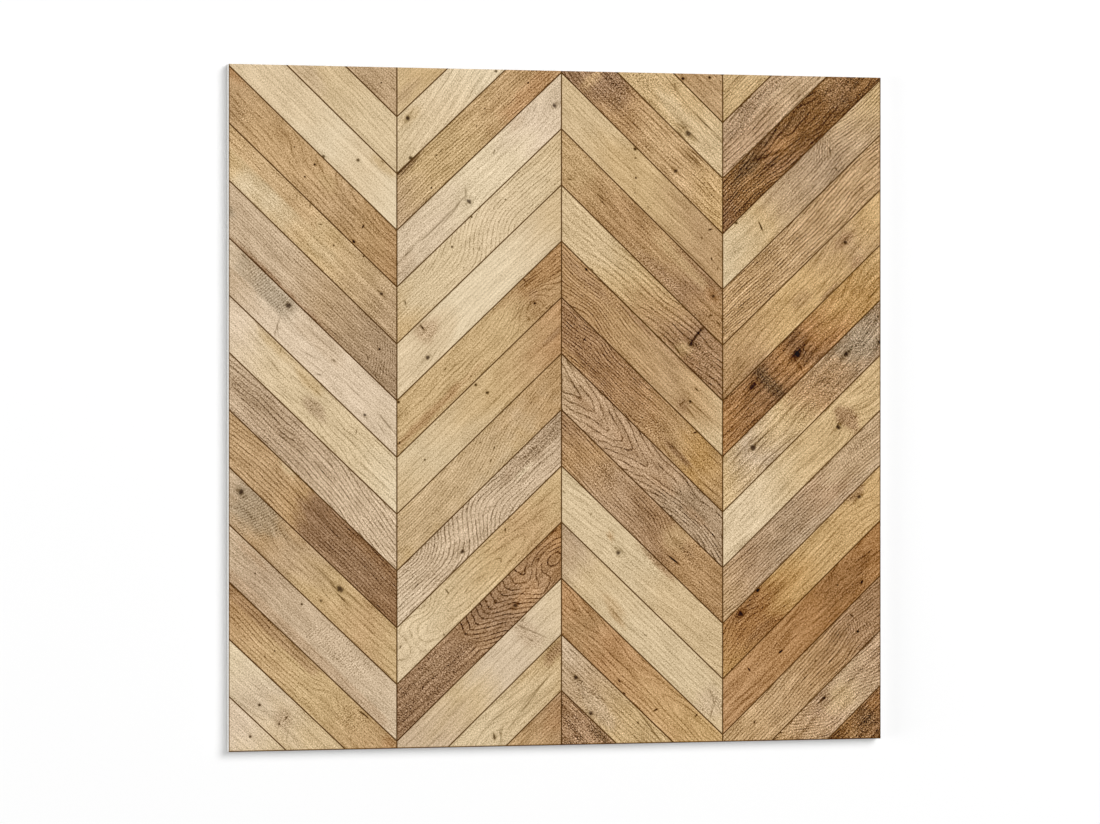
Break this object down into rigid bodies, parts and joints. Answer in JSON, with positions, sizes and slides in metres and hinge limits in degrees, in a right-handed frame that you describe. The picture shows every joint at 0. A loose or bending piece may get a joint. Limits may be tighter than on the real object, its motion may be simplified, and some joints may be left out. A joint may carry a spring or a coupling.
{
  "type": "self-adhesive vinyl tile",
  "caption": "Square self-adhesive vinyl tile with a printed chevron wood-plank face, a white vinyl core and a peel-off backing.",
  "frame": {"origin": "centre of the underside, where the release liner lies on the floor", "axes": "+Z out of the printed face, +Y towards the top of the chevron pattern, +X to the pattern's right"},
  "size_m": [0.3, 0.3, 0.005],
  "materials": {
    "printed_film": "satin wood-plank print under a clear wear layer",
    "vinyl_core": "matt white vinyl, knife-cut edge",
    "adhesive": "tacky grey pressure-sensitive adhesive",
    "liner_paper": "smooth siliconised release paper"
  },
  "bodies": {
    "root": {"printed_film": "printed_film", "vinyl_core": "vinyl_core", "adhesive_coat": "adhesive", "release_liner": "liner_paper"}
  },
  "joints": []
}
